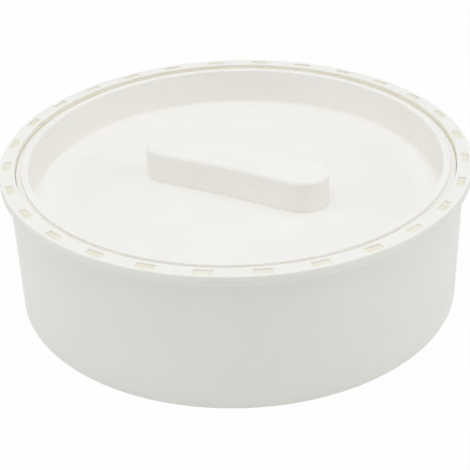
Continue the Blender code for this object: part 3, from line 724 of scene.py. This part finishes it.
def barOutline(inset, s):
    # Half-round ends and sides that draw in towards the middle, all moved in by inset
    halfLength, endRadius = s["length"] / 2, s["width"] / 2
    straight = halfLength - endRadius
    points = []
    for side in (1, -1):
        for step in range(s["endSteps"] + 1):
            angle = -math.pi / 2 + math.pi * step / s["endSteps"]
            points.append(Vector((side * (straight + (endRadius - inset) * math.cos(angle)),
                                  side * (endRadius - inset) * math.sin(angle), 0.0)))
        for step in range(1, 2 * s["sideSteps"]):
            share = step / s["sideSteps"]
            along = straight * (1 - share)
            drawn = 1 - abs(1 - share)   # nothing at the ends, all of the waist in the middle
            ease = drawn * drawn * (3 - 2 * drawn)
            across = endRadius - inset - s["waist"] * ease
            points.append(Vector((side * along, side * across, 0.0)))
    return points


def loftedBar(name, sections, s):
    # Sections are (inset, height) pairs from the bottom up
    bm = bmesh.new()
    loops = [[bm.verts.new(point + Vector((0.0, 0.0, height))) for point in barOutline(inset, s)]
             for inset, height in sections]
    for lower, upper in zip(loops, loops[1:]):
        for index in range(len(lower)):
            following = (index + 1) % len(lower)
            bm.faces.new((lower[index], lower[following], upper[following], upper[index]))
    bm.faces.new(loops[0])
    bm.faces.new(loops[-1])
    return pieceFrom(name, bm)


def makeHandle(s):
    low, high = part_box("follower_handle")
    top = high.z
    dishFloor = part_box("follower_plate")[1].z - dishSizes["depth"]
    bottom = dishFloor - s["seat"]
    quarter = math.pi / 2
    rounded = [(s["edgeRound"] * (1 - math.cos(quarter * step / s["edgeSteps"])),
                top - s["edgeRound"] * (1 - math.sin(quarter * step / s["edgeSteps"])))
               for step in range(s["edgeSteps"] + 1)]
    # The foot is square and bedded in the dish, so no line shows between them
    handle = loftedBar("barHandle", [(0.0, bottom)] + rounded, s)
    core = loftedBar("core", [(s["wall"], dishFloor - s["coreStart"]),
                              (s["wall"], top - s["wall"])], s)
    ribBottom = bottom + s["ribLift"]
    ribMiddle, halfRib, pegCircle = s["ribSpacing"] / 2, s["rib"] / 2, s["pegSpacing"] / 2
    combine(core, "DIFFERENCE", [
        roundedBars("handleRibs", 2, ribMiddle - halfRib, ribMiddle + halfRib, s["width"],
                    ribBottom, top, s["ribRound"]),
        flaredPins("bosses", 2, s["peg"], 0.0, ribBottom, top, pegCircle, sides=s["pegSides"])])
    combine(handle, "DIFFERENCE", [core])
    combine(handle, "UNION", [
        flaredPins("pegs", 2, s["peg"], 0.0, low.z, bottom + s["pegRoot"], pegCircle,
                   sides=s["pegSides"])])
    handle.data.transform(Matrix.Rotation(handleTurn, 4, "Z"))
    dress(handle, handlePlastic, "follower", "follower_handle")


makeHandle(handleSizes)


# Studio: a plain pale floor, a soft sky and four large soft lamps

studio = {
    "floorColour": "#f4f4f2", "bounceColour": "#f8f8f6", "floorSize": 8.0,
    "floorWhite": 0.96,   # share of plain white in the floor as seen, the rest keeps the shadow
    "skyColour": "#fefdfa", "skyStrength": 0.45, "aimHeight": 0.05,
}
lamps = {
    "overheadBack": {"at": (0.0, 0.35, 1.50), "size": 1.6, "power": 4.0, "colour": "#f4f8ff"},
    "overheadFront": {"at": (0.0, -0.45, 1.50), "size": 1.4, "power": 6.8, "colour": "#f4f8ff"},
    "leftSide": {"at": (-1.50, -0.10, 0.80), "size": 1.2, "power": 3.7, "colour": "#ffffff"},
    "rightSide": {"at": (1.50, -0.10, 0.80), "size": 1.2, "power": 4.2, "colour": "#ffffff"},
}


def addWhiteShare(tree):
    # One where the camera, a shine or a view through glass looks, so that these show plain white
    path = addNode(tree, "ShaderNodeLightPath")
    seenOrShiny = addNode(tree, "ShaderNodeMath", {"operation": "MAXIMUM"},
                          {0: path.outputs["Is Camera Ray"], 1: path.outputs["Is Glossy Ray"]})
    share = addNode(tree, "ShaderNodeMath", {"operation": "MAXIMUM"},
                    {0: seenOrShiny.outputs["Value"], 1: path.outputs["Is Transmission Ray"]})
    return share.outputs["Value"]


def makeFloor(s):
    bm = bmesh.new()
    bmesh.ops.create_grid(bm, x_segments=2, y_segments=2, size=s["floorSize"] / 2)
    floor = pieceFrom("studioFloor", bm)
    material, tree = newMaterial("paperSweep")   # matt white paper: no shine, keeps the shadow
    shaded = addNode(tree, "ShaderNodeBsdfDiffuse", {"Color": hexToLinear(s["floorColour"])})
    glow = addNode(tree, "ShaderNodeEmission", {"Color": (1.0, 1.0, 1.0, 1.0), "Strength": 1.0})
    bounce = addNode(tree, "ShaderNodeBsdfDiffuse", {"Color": hexToLinear(s["bounceColour"])})
    shown = addNode(tree, "ShaderNodeMixShader", {0: s["floorWhite"]},
                    {1: shaded.outputs["BSDF"], 2: glow.outputs["Emission"]})
    both = addNode(tree, "ShaderNodeMixShader", {},
                   {0: addWhiteShare(tree), 1: bounce.outputs["BSDF"], 2: shown.outputs["Shader"]})
    addNode(tree, "ShaderNodeOutputMaterial", {}, {"Surface": both.outputs["Shader"]})
    floor.data.materials.append(material)


def makeSky(s):
    world = bpy.data.worlds.new("softSky")
    bpy.context.scene.world = world
    world.use_nodes = True
    tree = world.node_tree
    tree.nodes.clear()
    sky = addNode(tree, "ShaderNodeBackground",
                  {"Color": hexToLinear(s["skyColour"]), "Strength": s["skyStrength"]})
    white = addNode(tree, "ShaderNodeBackground", {"Color": (1.0, 1.0, 1.0, 1.0), "Strength": 1.0})
    both = addNode(tree, "ShaderNodeMixShader", {},
                   {0: addWhiteShare(tree), 1: sky.outputs["Background"],
                    2: white.outputs["Background"]})
    addNode(tree, "ShaderNodeOutputWorld", {}, {"Surface": both.outputs["Shader"]})


def makeLamps(rig, aimHeight):
    aim = Vector((0.0, 0.0, aimHeight))
    for name, lamp in rig.items():
        data = bpy.data.lights.new(name, "AREA")
        data.shape = "DISK"
        data.size = lamp["size"]
        data.energy = lamp["power"]
        data.color = hexToLinear(lamp["colour"])[:3]
        holder = bpy.data.objects.new(name, data)
        bpy.context.scene.collection.objects.link(holder)
        holder.location = lamp["at"]
        holder.rotation_euler = (aim - holder.location).to_track_quat("-Z", "Y").to_euler()


# Camera: 0.86 m from the foot of the vat, looking down at about a third of a right angle.
# The small turn, lift and tilt frame the view. Angles are in degrees, lens and sensor in mm.

cameraSizes = {
    "distance": 0.8640, "elevation": 32.664, "lens": 91.04, "sensor": 36.0,
    "turn": -0.1380, "lift": 1.8464, "tilt": -1.7349,
}


def makeCamera(s):
    elevation = math.radians(s["elevation"])
    turn, lift, tilt = [math.radians(s[key]) for key in ("turn", "lift", "tilt")]
    right = Vector((1.0, 0.0, 0.0))
    ahead = Vector((0.0, math.cos(elevation), -math.sin(elevation)))
    up = right.cross(ahead)
    turnedRight = right * math.cos(turn) - ahead * math.sin(turn)
    turnedAhead = right * math.sin(turn) + ahead * math.cos(turn)
    liftedUp = up * math.cos(lift) - turnedAhead * math.sin(lift)
    liftedAhead = up * math.sin(lift) + turnedAhead * math.cos(lift)
    finalRight = turnedRight * math.cos(tilt) + liftedUp * math.sin(tilt)
    finalUp = liftedUp * math.cos(tilt) - turnedRight * math.sin(tilt)
    data = bpy.data.cameras.new("camera")
    data.lens = s["lens"]
    data.sensor_width = s["sensor"]
    camera = bpy.data.objects.new("camera", data)
    bpy.context.scene.collection.objects.link(camera)
    axes = Matrix((finalRight, finalUp, -liftedAhead)).transposed().to_4x4()
    towards = Vector((0.0, -math.cos(elevation), math.sin(elevation)))
    camera.matrix_world = Matrix.Translation(towards * s["distance"]) @ axes
    bpy.context.scene.camera = camera


makeFloor(studio)
makeSky(studio)
makeLamps(lamps, studio["aimHeight"])
makeCamera(cameraSizes)
bpy.context.scene.view_settings.view_transform = "Standard"
print("studio made")

bpy.context.view_layer.update()
